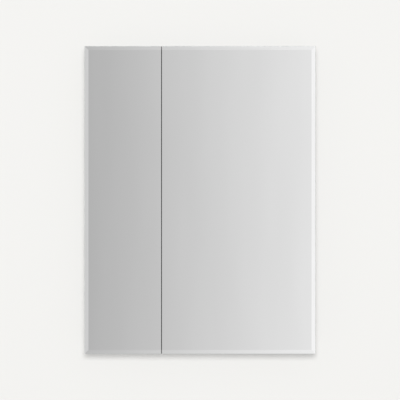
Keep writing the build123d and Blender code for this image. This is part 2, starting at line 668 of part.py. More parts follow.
for side_name, side in SIDES.items():
    hinge_edge = side * FRAME_X
    meeting_edge = MEETING_X[side_name] + side * GLASS_OVERHANG
    glass_x = sorted((side * FACE_X, MEETING_X[side_name]))
    frame_x = sorted((hinge_edge, meeting_edge))
    rail_x = sorted((hinge_edge - side * HINGE_STILE, meeting_edge + side * STILE))
    mirror_x = (rail_x[0] - REBATE_WIDTH + SIDE_CLEARANCE, rail_x[1] + REBATE_WIDTH - SIDE_CLEARANCE)
    mirror_z = FRAME_Z - STILE + REBATE_WIDTH - SIDE_CLEARANCE

    keep(front_mirror(glass_x, 0 if side < 0 else -1), f"{side_name}_front_mirror")
    keep(tape_ring(frame_x), f"{side_name}_mirror_tape")
    keep(stile(hinge_edge, -side, HINGE_STILE, HINGE_LEVELS.values()), f"{side_name}_hinge_stile")
    keep(stile(meeting_edge, side, STILE, ()), f"{side_name}_meeting_stile")
    keep(rail(rail_x, 1), f"{side_name}_top_rail")
    keep(rail(rail_x, -1), f"{side_name}_bottom_rail")
    keep(end_caps(hinge_edge, meeting_edge, side), f"{side_name}_end_caps")
    keep(slab(mirror_x, (DOOR_BACK - REBATE_DEPTH, DOOR_BACK), (-mirror_z, mirror_z)),
         f"{side_name}_back_mirror")

    keep(edge_seal(meeting_edge, SEAL_X[side_name]), f"{side_name}_edge_seal")
    keep(door_screws(side, rail_x), f"{side_name}_door_screws")

    # Hinges
    pivot = at_wall(side, PIVOT_U, PIVOT_V)
    for level_name, level in HINGE_LEVELS.items():
        keep(hinge_arm(side, level), f"{side_name}_hinge_arm_{level_name}")
        keep(hinge_block(side, level), f"{side_name}_hinge_block_{level_name}")
    with BuildPart() as pins:
        for level in HINGE_LEVELS.values():
            with BuildSketch(Plane.XY.offset(level - BLOCK_HALF)):
                with Locations(pivot):
                    Circle(PIN_RADIUS)
            extrude(amount=2 * BLOCK_HALF)
    keep(pins, f"{side_name}_hinge_pins")
    with BuildPart() as washers:
        for level in HINGE_LEVELS.values():
            for end in (-1, 1):
                with BuildSketch(Plane.XY.offset(level + end * (ARM_HALF + WASHER_GAP))):
                    with Locations(pivot):
                        Circle(EYE_RADIUS - WASHER_INSET)
                        Circle(PIN_RADIUS + SLACK, mode=Mode.SUBTRACT)
                extrude(amount=end * (POCKET_HALF - ARM_HALF - 2 * WASHER_GAP))
    keep(washers, f"{side_name}_hinge_washers")
    strikes = [(CATCH_X[side_name], -CATCH_Z), (CATCH_X[side_name], CATCH_Z)]
    keep(turned(Plane.XZ.offset(-DOOR_BACK - STRIKE), strikes, [(0, STRIKE, STRIKE_RADIUS)]),
         f"{side_name}_strike_discs")
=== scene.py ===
"""Finished looks of a two-door mirrored medicine cabinet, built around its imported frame.

Lengths are in metres. +X is right, the mirrors face -Y and +Z is up.
"""

import logging
import math
from dataclasses import dataclass, field, replace
from enum import Enum
from typing import Any, Callable, Iterable, Optional, Sequence

import bmesh
import bpy
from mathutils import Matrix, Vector

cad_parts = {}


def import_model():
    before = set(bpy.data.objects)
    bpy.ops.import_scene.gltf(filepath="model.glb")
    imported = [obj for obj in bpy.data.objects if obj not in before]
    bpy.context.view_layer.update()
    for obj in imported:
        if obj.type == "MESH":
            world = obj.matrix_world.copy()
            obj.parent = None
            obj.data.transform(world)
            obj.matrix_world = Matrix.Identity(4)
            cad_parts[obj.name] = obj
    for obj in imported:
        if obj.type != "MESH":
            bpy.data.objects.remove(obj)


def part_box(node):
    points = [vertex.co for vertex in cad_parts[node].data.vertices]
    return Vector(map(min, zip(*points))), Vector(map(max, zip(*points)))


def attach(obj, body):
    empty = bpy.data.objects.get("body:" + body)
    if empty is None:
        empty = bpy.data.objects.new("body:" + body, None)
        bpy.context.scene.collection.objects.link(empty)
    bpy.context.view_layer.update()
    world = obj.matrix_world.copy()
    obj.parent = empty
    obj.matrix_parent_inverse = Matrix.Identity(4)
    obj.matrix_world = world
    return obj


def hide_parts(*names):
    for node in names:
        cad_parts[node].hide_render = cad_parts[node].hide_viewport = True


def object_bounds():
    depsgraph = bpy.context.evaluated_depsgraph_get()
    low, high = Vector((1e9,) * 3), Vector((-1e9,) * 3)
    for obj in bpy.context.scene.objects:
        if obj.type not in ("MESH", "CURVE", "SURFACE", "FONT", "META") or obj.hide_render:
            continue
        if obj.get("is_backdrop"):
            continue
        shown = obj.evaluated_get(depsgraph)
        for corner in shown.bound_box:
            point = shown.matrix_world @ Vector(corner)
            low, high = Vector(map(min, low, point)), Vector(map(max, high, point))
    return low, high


LOG = logging.getLogger("medicine_cabinet")
MM = 0.001
# Points closer than this are one point.
WELD = 1e-6
# Faces that turn less than this make one flat face.
FLAT_TURN = math.radians(0.8)
# A turned part's edges are sharp from this turn on.
SHARP_TURN = math.radians(32)
# A face looks straight along an axis where its normal has at least this share there.
STRAIGHT = 0.99
# Solids are put in order by their places, to this many digits of a metre.
ORDER_DIGITS = 5
# Large faces decide the shading of the rounds beside them.
FACE_WEIGHT = 100
TURN_SEED = 5
LEVELS = ("bottom", "middle", "top")

Tree = bpy.types.NodeTree
Node = bpy.types.Node
Socket = bpy.types.NodeSocket
Mesh = bpy.types.Mesh
Piece = bpy.types.Object
Colour = tuple[float, float, float, float]
Point = tuple[float, float, float]
Outline = Sequence[tuple[float, float]]
Sockets = tuple[tuple[str, float], ...]
Solid = tuple[Vector, Vector]
Spot = tuple[Vector, Vector]

METAL: Sockets = (("Metallic", 1.0),)

RIGHT = Vector((1.0, 0.0, 0.0))
BACK = Vector((0.0, 1.0, 0.0))
UP = Vector((0.0, 0.0, 1.0))


class Along(Enum):
    """The row axis that a drawn, rolled or ground surface's lines follow."""

    X = (1.0, 0.0, 0.0)
    Y = (0.0, 1.0, 0.0)
    Z = (0.0, 0.0, 1.0)


class Recess(Enum):
    """The driver recess in a screw's head."""

    CROSS = "cross"
    HEXAGON = "hexagon"


# ------------------------------------------------------------------ materials


def linear(code: str) -> Colour:
    """Turn an sRGB hex colour into linear values, with an alpha of one."""
    shares = [int(code[i:i + 2], 16) / 255 for i in (1, 3, 5)]
    lin = [s / 12.92 if s <= 0.04045 else ((s + 0.055) / 1.055) ** 2.4 for s in shares]
    return (lin[0], lin[1], lin[2], 1.0)


def feed(made: Node, inputs: dict[Any, Any]) -> None:
    """Set a node's inputs.

    Args:
        made: The node.
        inputs: By name or number, a value, a socket, or a node whose first output is meant.
    """
    for key, value in inputs.items():
        if isinstance(value, Node):
            value = value.outputs[0]
        if isinstance(value, Socket):
            made.id_data.links.new(value, made.inputs[key])
        else:
            made.inputs[key].default_value = value


def node(tree: Tree, kind: str, inputs: Optional[dict[Any, Any]] = None,
         ramp: Iterable[tuple[float, str]] = (), **settings: Any) -> Node:
    """Add one node to a tree.

    Args:
        tree: The tree that gets the node.
        kind: The node's type.
        inputs: What feeds its inputs.
        ramp: Places and hex colours, where the node is a colour ramp.
        **settings: The node's own properties.

    Returns:
        The new node.
    """
    made = tree.nodes.new(kind)
    for name, value in settings.items():
        setattr(made, name, value)
    feed(made, inputs or {})
    for number, (place, code) in enumerate(ramp):
        stops = made.color_ramp.elements
        stop = stops[number] if number < 2 else stops.new(place)
        stop.position = place
        stop.color = linear(code)
    return made


def grain(tree: Tree, size: Point, detail: float, place: Any = None) -> Node:
    """Noise whose lumps have a real size on the piece.

    Args:
        tree: The material's node tree.
        size: The lumps' size along X, Y and Z, in millimetres.
        detail: How many finer layers the noise has.
        place: The place that it is read at, where that isn't the piece's own.

    Returns:
        The noise, whose first output is its value.
    """
    place = place or node(tree, "ShaderNodeTexCoord").outputs["Object"]
    scale = tuple(1 / (MM * length) for length in size)
    fitted = node(tree, "ShaderNodeMapping", {"Vector": place, "Scale": scale})
    return node(tree, "ShaderNodeTexNoise", {"Vector": fitted, "Scale": 1.0, "Detail": detail})


def even(size: float) -> Point:
    """Lumps of one size along every axis, in millimetres."""
    return (size, size, size)


def lines(along: Along, across: float, length: float) -> Point:
    """Lumps drawn out to lines of a length and a spacing, in millimetres, along one axis."""
    x, y, z = (length if share else across for share in along.value)
    return (x, y, z)


@dataclass(frozen=True)
class Finish:
    """A surface as it is made, from which one material is built. Lengths are in millimetres.

    Attributes:
        name: The material's name.
        colours: The two hex colours that it varies between.
        rough: The roughness that goes with each.
        tone: The lumps of the pattern that moves both.
        detail: How many finer layers that pattern has.
        texture: The lumps of its relief, where the relief has a pattern of its own.
        texture_detail: How many finer layers that one has.
        depth: The relief's height.
        strength: The share of it that shows.
        sockets: Values on the shader's own sockets.
        span: The pattern's values at which the two colours stand.
    """

    name: str
    colours: tuple[str, str]
    rough: tuple[float, float]
    tone: Point = (9.0, 9.0, 9.0)
    detail: float = 3.0
    texture: Optional[Point] = None
    texture_detail: float = 3.0
    depth: float = 0.0
    strength: float = 1.0
    sockets: Sockets = ()
    span: tuple[float, float] = (0.32, 0.68)

    def material(self) -> bpy.types.Material:
        """Build the material once, and return the same one after that."""
        found = bpy.data.materials.get(self.name)
        if found:
            return found
        made = bpy.data.materials.new(self.name)
        made.use_nodes = True
        tree = made.node_tree
        shader = tree.nodes["Principled BSDF"]
        feed(shader, dict(self.sockets))
        tone, height = self.patterns(tree)
        spread = {"Value": tone, "From Min": self.span[0], "From Max": self.span[1],
                  "To Min": self.rough[0], "To Max": self.rough[1]}
        feed(shader, {"Base Color": node(tree, "ShaderNodeValToRGB", {"Fac": tone},
                                         ramp=zip(self.span, self.colours)),
                      "Roughness": node(tree, "ShaderNodeMapRange", spread)})
        if self.depth:
            relief = {"Height": height, "Distance": self.depth * MM, "Strength": self.strength}
            feed(shader, {"Normal": node(tree, "ShaderNodeBump", relief)})
        return made

    def patterns(self, tree: Tree) -> tuple[Node, Node]:
        """The pattern of the colour and roughness, and that of the relief."""
        tone = grain(tree, self.tone, self.detail)
        return tone, grain(tree, self.texture, self.texture_detail) if self.texture else tone


@dataclass(frozen=True)
class Bevel(Finish):
    """A bevel ground into silvered glass and felt-polished: bright, with lines along the edge.

    The lines are coarser than real ones, so that they show.
    """

    colours: tuple[str, str] = ("#EFEFEF", "#F5F5F5")
    rough: tuple[float, float] = (0.02, 0.05)
    detail: float = 2.0
    depth: float = 0.0015
    sockets: Sockets = METAL


@dataclass(frozen=True)
class AnodisedAluminium(Finish):
    """Extruded aluminium, satin anodised: a soft silver sheen with die lines along the extrusion."""

    colours: tuple[str, str] = ("#C4C6C8", "#D0D2D3")
    rough: tuple[float, float] = (0.29, 0.36)
    detail: float = 4.0
    depth: float = 0.006
    strength: float = 0.45
    sockets: Sockets = METAL


@dataclass(frozen=True)
class GalvanisedSteel(Finish):
    """Hot-dipped sheet: pale zinc crystals, each feathered in its own direction and so its own grey.

    Attributes:
        crystal: A crystal's size.
        ripple: The size of the wobbles in a crystal's border.
        ruffle: How far they reach.
        ferns: The share of the feathering in the tone.
    """

    crystal: float = 14.0
    ripple: float = 3.0
    ruffle: float = 3.5
    ferns: float = 0.5

    def patterns(self, tree: Tree) -> tuple[Node, Node]:
        """Crystals with ruffled borders, and ferns inside each that run at the crystal's own angle."""
        place = node(tree, "ShaderNodeTexCoord").outputs["Object"]
        wobble = node(tree, "ShaderNodeTexNoise",
                      {"Vector": place, "Scale": 1 / (self.ripple * MM), "Detail": self.detail})
        shift = node(tree, "ShaderNodeVectorMath",
                     {0: wobble.outputs["Color"], 1: even(self.ruffle * MM)}, operation="MULTIPLY")
        moved = node(tree, "ShaderNodeVectorMath", {0: place, 1: shift})
        crystals = node(tree, "ShaderNodeTexVoronoi",
                        {"Vector": moved, "Scale": 1 / (self.crystal * MM)})
        own = node(tree, "ShaderNodeSeparateColor", {"Color": crystals.outputs["Color"]})
        angle = node(tree, "ShaderNodeMath", {0: own, 1: math.tau}, operation="MULTIPLY")
        turned = node(tree, "ShaderNodeVectorRotate", {"Vector": place, "Angle": angle},
                      rotation_type="Y_AXIS")
        feathers = grain(tree, self.tone, self.detail, turned)
        tone = node(tree, "ShaderNodeMix",
                    {"Factor": 1 - self.ferns, "A": feathers, "B": own.outputs["Green"]})
        return tone, feathers


@dataclass(frozen=True)
class PlatedMetal(Finish):
    """Plate on a casting or a pressing: a gloss that shows the base's fine unevenness."""

    tone: Point = even(9.0)
    texture: Optional[Point] = even(1.2)
    texture_detail: float = 4.0
    depth: float = 0.012
    strength: float = 0.6
    sockets: Sockets = METAL


@dataclass(frozen=True)
class MouldedPlastic(Finish):
    """Injection-moulded plastic: an even satin colour over a spark-eroded grain."""

    tone: Point = even(7.0)
    texture: Optional[Point] = even(0.4)
    depth: float = 0.02
    strength: float = 0.5
    sockets: Sockets = (("IOR", 1.53),)


DIE_LINES_UPRIGHT = lines(Along.Z, 0.5, 260.0)
DIE_LINES_LEVEL = lines(Along.X, 0.5, 260.0)

# Float glass, silvered behind: a clear cold mirror with the float's long shallow wave.
MIRROR = Finish("silvered_float_glass", ("#F1F1F1", "#F3F3F3"), (0.012, 0.02),
                tone=(90.0, 90.0, 500.0), detail=1.0, depth=0.002, sockets=METAL)
BEVEL_UPRIGHT = Bevel("polished_bevel_upright", tone=lines(Along.Z, 0.8, 120.0))
BEVEL_LEVEL = Bevel("polished_bevel_level", tone=lines(Along.X, 0.8, 120.0))
# A ground and polished glass edge: sea green, because the eye looks through the pane's length.
GLASS_EDGE = Finish("ground_glass_edge", ("#6F9A8A", "#A9C9BD"), (0.16, 0.34), tone=(24.0, 1.6, 24.0),
                    texture=(3.0, 0.35, 3.0), depth=0.02, strength=0.5,
                    sockets=(("IOR", 1.52), ("Coat Weight", 0.6), ("Coat Roughness", 0.08)))
# Lacquer brushed along the meeting edge to keep damp from the silver: satin, with brush lines. Its darkness
# is painted shade for the gap between the doors.
GAP_SHADE_LACQUER = Finish("edge_sealing_lacquer", ("#38393A", "#4A4B4B"), (0.38, 0.55),
                tone=lines(Along.Z, 1.0, 40.0), depth=0.03, strength=0.5)
# The grey lacquer that seals a mirror's silver: satin, with a shallow orange peel.
BACKING = Finish("mirror_backing_paint", ("#6F7775", "#7D8583"), (0.42, 0.56),
                 tone=even(18.0), texture=even(1.6), depth=0.02, strength=0.6)
BODY_UPRIGHT = AnodisedAluminium("anodised_aluminium_upright", tone=DIE_LINES_UPRIGHT)
BODY_LEVEL = AnodisedAluminium("anodised_aluminium_level", tone=DIE_LINES_LEVEL)
# The door frames are anodised brighter than the case.
FRAME_UPRIGHT = AnodisedAluminium("bright_anodised_upright", ("#CCCECF", "#D7D9DA"), (0.21, 0.28),
                                  tone=DIE_LINES_UPRIGHT)
FRAME_LEVEL = replace(FRAME_UPRIGHT, name="bright_anodised_level", tone=DIE_LINES_LEVEL)
# Sawn and left as it came from the mill: greyer, with a coarser sheen.
MILL_ALUMINIUM = AnodisedAluminium("mill_aluminium", ("#9EA0A2", "#B4B6B8"), (0.3, 0.45),
                                   tone=lines(Along.Y, 0.5, 260.0))
GALVANISED = GalvanisedSteel("galvanised_steel", ("#B5BABD", "#D3D7D9"), (0.34, 0.46),
                             tone=(0.9, 0.9, 9.0), detail=2.0, depth=0.006, strength=0.6,
                             sockets=METAL, span=(0.1, 0.9))
# Soft plain aluminium with the press's dull marks.
RIVET_METAL = PlatedMetal("rivet_aluminium", ("#A9ABAD", "#BEC0C2"), (0.25, 0.4),
                          texture=even(0.8), depth=0.01)
# Nickel over a die casting: a warm grey gloss with the casting's fine lumps.
HINGE_METAL = PlatedMetal("nickel_plated_zinc_casting", ("#B9B7B2", "#CBC9C4"), (0.16, 0.28))
# Nickel over pressed brass: the same warm grey, smoother and brighter.
CLIP_METAL = PlatedMetal("nickel_plated_brass", ("#C6C4BE", "#D6D4CF"), (0.1, 0.2),
                         texture=even(2.5), depth=0.006)
# Bright zinc on turned steel: colder and bluer than nickel.
SCREW_METAL = PlatedMetal("zinc_plated_steel", ("#B4B8BE", "#CCCFD2"), (0.18, 0.32),
                          texture=even(0.7), depth=0.008)
# Centreless-ground stainless: neutral and almost smooth.
PIN_METAL = PlatedMetal("ground_stainless_steel", ("#B8BABC", "#CACCCD"), (0.14, 0.24),
                        texture=even(0.5), depth=0.004)
# Nickel over sintered magnet: dark grey and glossy, with a slow unevenness.
MAGNET_METAL = PlatedMetal("nickel_plated_magnet", ("#A9A9A7", "#BCBCBA"), (0.12, 0.2),
                           texture=even(3.0), depth=0.006)
CAP_PLASTIC = MouldedPlastic("moulded_grey_abs", ("#8E9193", "#9A9D9F"), (0.4, 0.52))
CUP_PLASTIC = MouldedPlastic("moulded_white_abs", ("#D9DADA", "#E6E7E7"), (0.32, 0.42))
# Natural nylon: creamy, and light spreads a little way into it.
NYLON = MouldedPlastic("natural_nylon", ("#E6E4DA", "#F0EEE6"), (0.35, 0.45),
                       sockets=(("IOR", 1.53), ("Subsurface Weight", 0.25),
                                ("Subsurface Scale", 1.5 * MM)))
# Closed-cell mounting tape: matt white foam whose cut cells show along its edge.
FOAM = Finish("acrylic_foam_tape", ("#DEDDD8", "#EEEDE9"), (0.8, 0.95),
              tone=even(0.35), detail=2.0, depth=0.06)
# Extruded rubber for the seal in the gap between the doors: matt, with faint drawn lines under a greyish
# bloom, and black as painted shade for that gap.
GAP_SHADE_RUBBER = Finish("extruded_rubber", ("#141416", "#242426"), (0.55, 0.75),
                tone=lines(Along.Z, 5.0, 30.0), texture=lines(Along.Z, 0.6, 90.0), depth=0.02, strength=0.5)
# Clear moulded silicone: milky where it is thick, soft in its gloss and a little hazy.
SILICONE = Finish("clear_silicone", ("#E0E4E4", "#F0F3F3"), (0.14, 0.24), tone=even(2.0),
                  sockets=(("IOR", 1.41), ("Transmission Weight", 0.4), ("Subsurface Weight", 0.5),
                           ("Subsurface Scale", 2 * MM)))
# Clear float glass through its thickness: almost colourless, with the slight smear of wiped glass.
SHELF_CLEAR = Finish("clear_float_glass", ("#E6F3EE", "#EEF8F4"), (0.0, 0.015), tone=(60.0, 18.0, 60.0),
                     sockets=(("IOR", 1.52), ("Transmission Weight", 1.0)))
# The pencil-polished edge of a shelf: deep sea green and bright.
SHELF_EDGE = Finish("pencil_polished_glass_edge", ("#5E9C86", "#93C7B4"), (0.04, 0.12),
                    tone=(30.0, 8.0, 1.4), sockets=(("IOR", 1.52), ("Transmission Weight", 0.55)))


# ------------------------------------------------------------------ mesh tools


def new_piece(name: str, mesh: Mesh) -> Piece:
    """Put a mesh in the scene as an object at the origin."""
    mesh.name = name
    made = bpy.data.objects.new(name, mesh)
    bpy.context.scene.collection.objects.link(made)
    return made


def settle(piece: Piece) -> None:
    """Turn a piece and its live modifiers into one plain mesh."""
    graph = bpy.context.evaluated_depsgraph_get()
    mesh = bpy.data.meshes.new_from_object(piece.evaluated_get(graph), depsgraph=graph)
    piece.modifiers.clear()
    piece.data = mesh
    mesh.name = piece.name


def poured(shape: bmesh.types.BMesh, name: str) -> Mesh:
    """Turn a worked-out shape into a mesh of that name."""
    mesh = bpy.data.meshes.new(name)
    shape.to_mesh(mesh)
    shape.free()
    return mesh


def round_edges(piece: Piece, radius: float, segments: int = 2,
                from_degrees: float = 35.0) -> None:
    """Round a piece's sharp edges and shade it smooth between them.

    Args:
        piece: A closed mesh.
        radius: The edge's radius, in millimetres.
        segments: How many faces make the round.
        from_degrees: The turn from which an edge counts as sharp.
    """
    piece.data.shade_smooth()
    arris = piece.modifiers.new("arris", "BEVEL")
    arris.width = radius * MM
    arris.segments = segments
    arris.limit_method = "ANGLE"
    arris.angle_limit = math.radians(from_degrees)
    arris.use_clamp_overlap = False
    weld = piece.modifiers.new("weld", "WELD")
    weld.merge_threshold = WELD
    piece.modifiers.new("even_shading", "WEIGHTED_NORMAL").weight = FACE_WEIGHT
    settle(piece)


def flatten(piece: Piece) -> None:
    """Shade every face of a piece flat, as a mirror's faces must be."""
    kept = piece.data.attributes.get("custom_normal")
    if kept:
        piece.data.attributes.remove(kept)
    piece.data.shade_flat()


def dress_faces(piece: Piece, finishes: Sequence[Finish],
                choose: Callable[[Vector], Finish]) -> None:
    """Give each face the finish that goes with the way it faces.

    Args:
        piece: The piece.
        finishes: All that it may have, in the order of its material slots.
        choose: Picks one by a face's normal.
    """
    piece.data.materials.clear()
    for finish in finishes:
        piece.data.materials.append(finish.material())
    for face in piece.data.polygons:
        face.material_index = finishes.index(choose(face.normal))


def loft(rows: Sequence[Sequence[bmesh.types.BMVert]], shape: bmesh.types.BMesh, name: str,
         ends: bool = False) -> Mesh:
    """Join each row of points to the next, all round.

    Args:
        rows: Rows with as many points as each other, or with one.
        shape: What they belong to.
        name: The mesh's name.
        ends: True where the first and last rows are faces too.

    Returns:
        The mesh, with its faces outwards.
    """
    steps = max(len(row) for row in rows)
    for one, two in zip(rows, rows[1:]):
        for i in range(steps):
            j = (i + 1) % steps
            corners = [one[i % len(one)], one[j % len(one)], two[j % len(two)], two[i % len(two)]]
            shape.faces.new(list(dict.fromkeys(corners)))
    if ends:
        shape.faces.new(reversed(rows[0]))
        shape.faces.new(rows[-1])
    bmesh.ops.recalc_face_normals(shape, faces=shape.faces)
    return poured(shape, name)


def lathe(outline: Outline, steps: int = 32, ring: bool = False) -> Mesh:
    """Turn an outline about Z.

    Args:
        outline: Points of radius and height, in millimetres.
        steps: How many faces go round.
        ring: True where the outline closes on itself and not on the axis.

    Returns:
        A closed mesh in metres.
    """
    shape = bmesh.new()
    rows = []
    for radius, height in outline:
        count = 1 if radius == 0 else steps
        rows.append([shape.verts.new((radius * MM * math.cos(math.tau * i / steps),
                                      radius * MM * math.sin(math.tau * i / steps), height * MM))
                     for i in range(count)])
    mesh = loft(rows + rows[:1] if ring else rows, shape, "turned")
    mesh.shade_smooth()
    mesh.set_sharp_from_angle(angle=SHARP_TURN)
    return mesh


def arc(centre: tuple[float, float], radius: float, start: float, end: float, steps: int = 4) -> Outline:
    """Points of a lathe outline on a circle, from one angle in degrees to another, both ends among them."""
    turns = [math.radians(start + (end - start) * i / steps) for i in range(steps + 1)]
    return [(centre[0] + radius * math.cos(t), centre[1] + radius * math.sin(t)) for t in turns]


def prism(low: Outline, high: Outline, bottom: float, top: float) -> Mesh:
    """A closed tapered prism between two outlines with the same number of points.

    Args:
        low: The lower outline, in millimetres.
        high: The upper outline.
        bottom: The lower outline's height.
        top: The upper outline's height.

    Returns:
        The mesh, in metres.
    """
    shape = bmesh.new()
    rows = [[shape.verts.new((x * MM, y * MM, z * MM)) for x, y in outline]
            for outline, z in ((low, bottom), (high, top))]
    return loft(rows, shape, "prism", ends=True)


def placing_tree() -> Tree:
    """The Geometry Nodes tree that sets a copy of a shape on every vertex, turned by its facing.

    Its inputs are the shape, the copies' size, the most that a copy turns about its own axis, by a
    seeded share, and the finish.
    """
    name = "place_copies"
    if name in bpy.data.node_groups:
        return bpy.data.node_groups[name]
    tree = bpy.data.node_groups.new(name, "GeometryNodeTree")
    for label, kind in (("Geometry", "Geometry"), ("Shape", "Object"), ("Size", "Float"), ("Turn", "Float"),
                        ("Finish", "Material")):
        tree.interface.new_socket(label, in_out="INPUT", socket_type=f"NodeSocket{kind}")
    tree.interface.new_socket("Geometry", in_out="OUTPUT", socket_type="NodeSocketGeometry")
    given = node(tree, "NodeGroupInput").outputs
    shape = node(tree, "GeometryNodeObjectInfo", {"Object": given["Shape"], "As Instance": True})
    facing = node(tree, "GeometryNodeInputNamedAttribute", {"Name": "facing"}, data_type="FLOAT_VECTOR")
    way = node(tree, "FunctionNodeEulerToRotation", {"Euler": facing})
    share = node(tree, "FunctionNodeRandomValue", {"Seed": TURN_SEED})
    angle = node(tree, "ShaderNodeMath", {0: share.outputs[1], 1: given["Turn"]}, operation="MULTIPLY")
    about = node(tree, "ShaderNodeCombineXYZ", {"Z": angle})
    spin = node(tree, "FunctionNodeEulerToRotation", {"Euler": about})
    turn = node(tree, "FunctionNodeRotateRotation", {"Rotation": way, "Rotate By": spin},
                rotation_space="LOCAL")
    placed = node(tree, "GeometryNodeInstanceOnPoints",
                  {"Points": given["Geometry"], "Instance": shape.outputs["Geometry"],
                   "Rotation": turn, "Scale": given["Size"]})
    real = node(tree, "GeometryNodeRealizeInstances", {"Geometry": placed})
    dressed = node(tree, "GeometryNodeSetMaterial", {"Geometry": real, "Material": given["Finish"]})
    node(tree, "NodeGroupOutput", {"Geometry": dressed})
    return tree


def place_copies(name: str, shape: Mesh, spots: Sequence[Spot], finish: Finish,
                 turn: float = 0.0) -> Piece:
    """Make one piece of many copies of a shape.

    Args:
        name: The piece's name.
        shape: The shape, with its outward axis along +Z.
        spots: The place and facing of each copy.
        finish: What it is made of.
        turn: The most that a copy turns about its own axis, in radians.

    Returns:
        The piece, as a plain mesh.
    """
    master = bpy.data.objects.new(f"{name}_master", shape)
    points = bpy.data.meshes.new(name)
    points.from_pydata([place for place, _ in spots], [], [])
    facing = points.attributes.new("facing", "FLOAT_VECTOR", "POINT")
    turns = [way.to_track_quat("Z", "Y").to_euler() for _, way in spots]
    facing.data.foreach_set("vector", [value for angles in turns for value in angles])
    piece = new_piece(name, points)
    tree = placing_tree()
    copies = piece.modifiers.new("copies", "NODES")
    copies.node_group = tree
    values = {"Shape": master, "Size": 1.0, "Turn": turn, "Finish": finish.material()}
    for item in tree.interface.items_tree:
        if item.in_out == "INPUT" and item.name in values:
            copies[item.identifier] = values[item.name]
    settle(piece)
    bpy.data.objects.remove(master)
    return piece


def join(first: Piece, second: Piece) -> Piece:
    """Move a second piece's mesh into the first, where both have the same material."""
    shape = bmesh.new()
    for piece in (first, second):
        shape.from_mesh(piece.data)
    shape.to_mesh(first.data)
    shape.free()
    bpy.data.objects.remove(second)
    return first


def islands(name: str) -> list[Solid]:
    """Find the separate solids of a CAD node.

    Args:
        name: The node.

    Returns:
        Each solid's lowest and highest corner.
    """
    shape = bmesh.new()
    shape.from_mesh(bpy.data.objects[name].data)
    bmesh.ops.remove_doubles(shape, verts=shape.verts, dist=WELD)
    left = set(shape.verts)
    found = []
    while left:
        front = [left.pop()]
        seen = []
        while front:
            vert = front.pop()
            seen.append(vert.co.copy())
            near = {edge.other_vert(vert) for edge in vert.link_edges} & left
            left -= near
            front.extend(near)
        found.append((Vector(map(min, zip(*seen))), Vector(map(max, zip(*seen)))))
    shape.free()
    return sorted(found, key=lambda pair: tuple(round(v, ORDER_DIGITS) for v in pair[0]))


def tops(solids: Sequence[Solid], way: Vector) -> list[Spot]:
    """The middle of each solid's top, where all the tops face one way, with that way."""
    return [((low + high) / 2 + (high - low) / 2 * way, way) for low, high in solids]


def tops_inwards(solids: Sequence[Solid]) -> list[Spot]:
    """Find the tops of screws in the side walls, whose heads face the middle."""
    return [spot for way in (RIGHT, -RIGHT) for spot in tops(solids, way) if spot[0].x * way.x < 0]


# ------------------------------------------------------------------ sub-assemblies


@dataclass
class SubAssembly:
    """Pieces that belong together and ride on one body.

    Attributes:
        body: The CAD body that they move with.
        made: The pieces so far.
    """

    body: str
    made: list[Piece] = field(default_factory=list)

    def enter(self, piece: Piece, slot: str, *nodes: str) -> Piece:
        """Take a finished piece into the sub-assembly.

        Args:
            piece: The piece.
            slot: The record's material slot; not used.
            *nodes: The CAD nodes that it stands for.

        Returns:
            The same piece.
        """
        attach(piece, self.body)
        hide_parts(*nodes)
        self.made.append(piece)
        LOG.info("%s rides on %s and stands for %s", piece.name, self.body, ", ".join(nodes))
        return piece

    def soften(self, name: str, slot: str, finish: Finish, radius: float,
               segments: int = 2) -> Piece:
        """Make a piece from a CAD node by rounding its edges.

        Args:
            name: The node.
            slot: The record's material slot.
            finish: What it is made of.
            radius: The edges' radius, in millimetres.
            segments: How many faces make the round.

        Returns:
            The new piece.
        """
        shape = bmesh.new()
        shape.from_mesh(bpy.data.objects[name].data)
        bmesh.ops.remove_doubles(shape, verts=shape.verts, dist=WELD)
        bmesh.ops.dissolve_limit(shape, angle_limit=FLAT_TURN, verts=shape.verts, edges=shape.edges)
        mesh = poured(shape, name)
        mesh.materials.append(finish.material())
        piece = new_piece(f"{name}_finished", mesh)
        round_edges(piece, radius, segments)
        return self.enter(piece, slot, name)

    def glaze(self, name: str, front: Vector, radius: float = 0.3) -> None:
        """Make a flat mirror from a CAD node: silver in front, green edges and grey paint behind.

        Args:
            name: The node.
            front: The way that the silver faces.
            radius: The seamed edge's radius, in millimetres.
        """
        def choose(normal: Vector) -> Finish:
            outward = normal.dot(front)
            return MIRROR if outward > STRAIGHT else BACKING if outward < -STRAIGHT else GLASS_EDGE

        piece = self.soften(name, "mirror", MIRROR, radius)
        flatten(piece)
        dress_faces(piece, (MIRROR, GLASS_EDGE, BACKING), choose)

    def copies(self, name: str, slot: str, finish: Finish, part: "Turned", spots: Sequence[Spot]) -> None:
        """Make a piece of repeated small parts that stands for one CAD node."""
        piece = place_copies(f"{name}_finished", part.mesh(), spots, finish, part.turn)
        self.enter(piece, slot, name)

    def dress(self, name: str, finish: Finish) -> None:
        """Give a CAD node that stays a better material."""
        carried = bpy.data.objects[name]
        carried.data.materials.clear()
        carried.data.materials.append(finish.material())
        LOG.info("%s keeps its shape, in %s", name, finish.name)


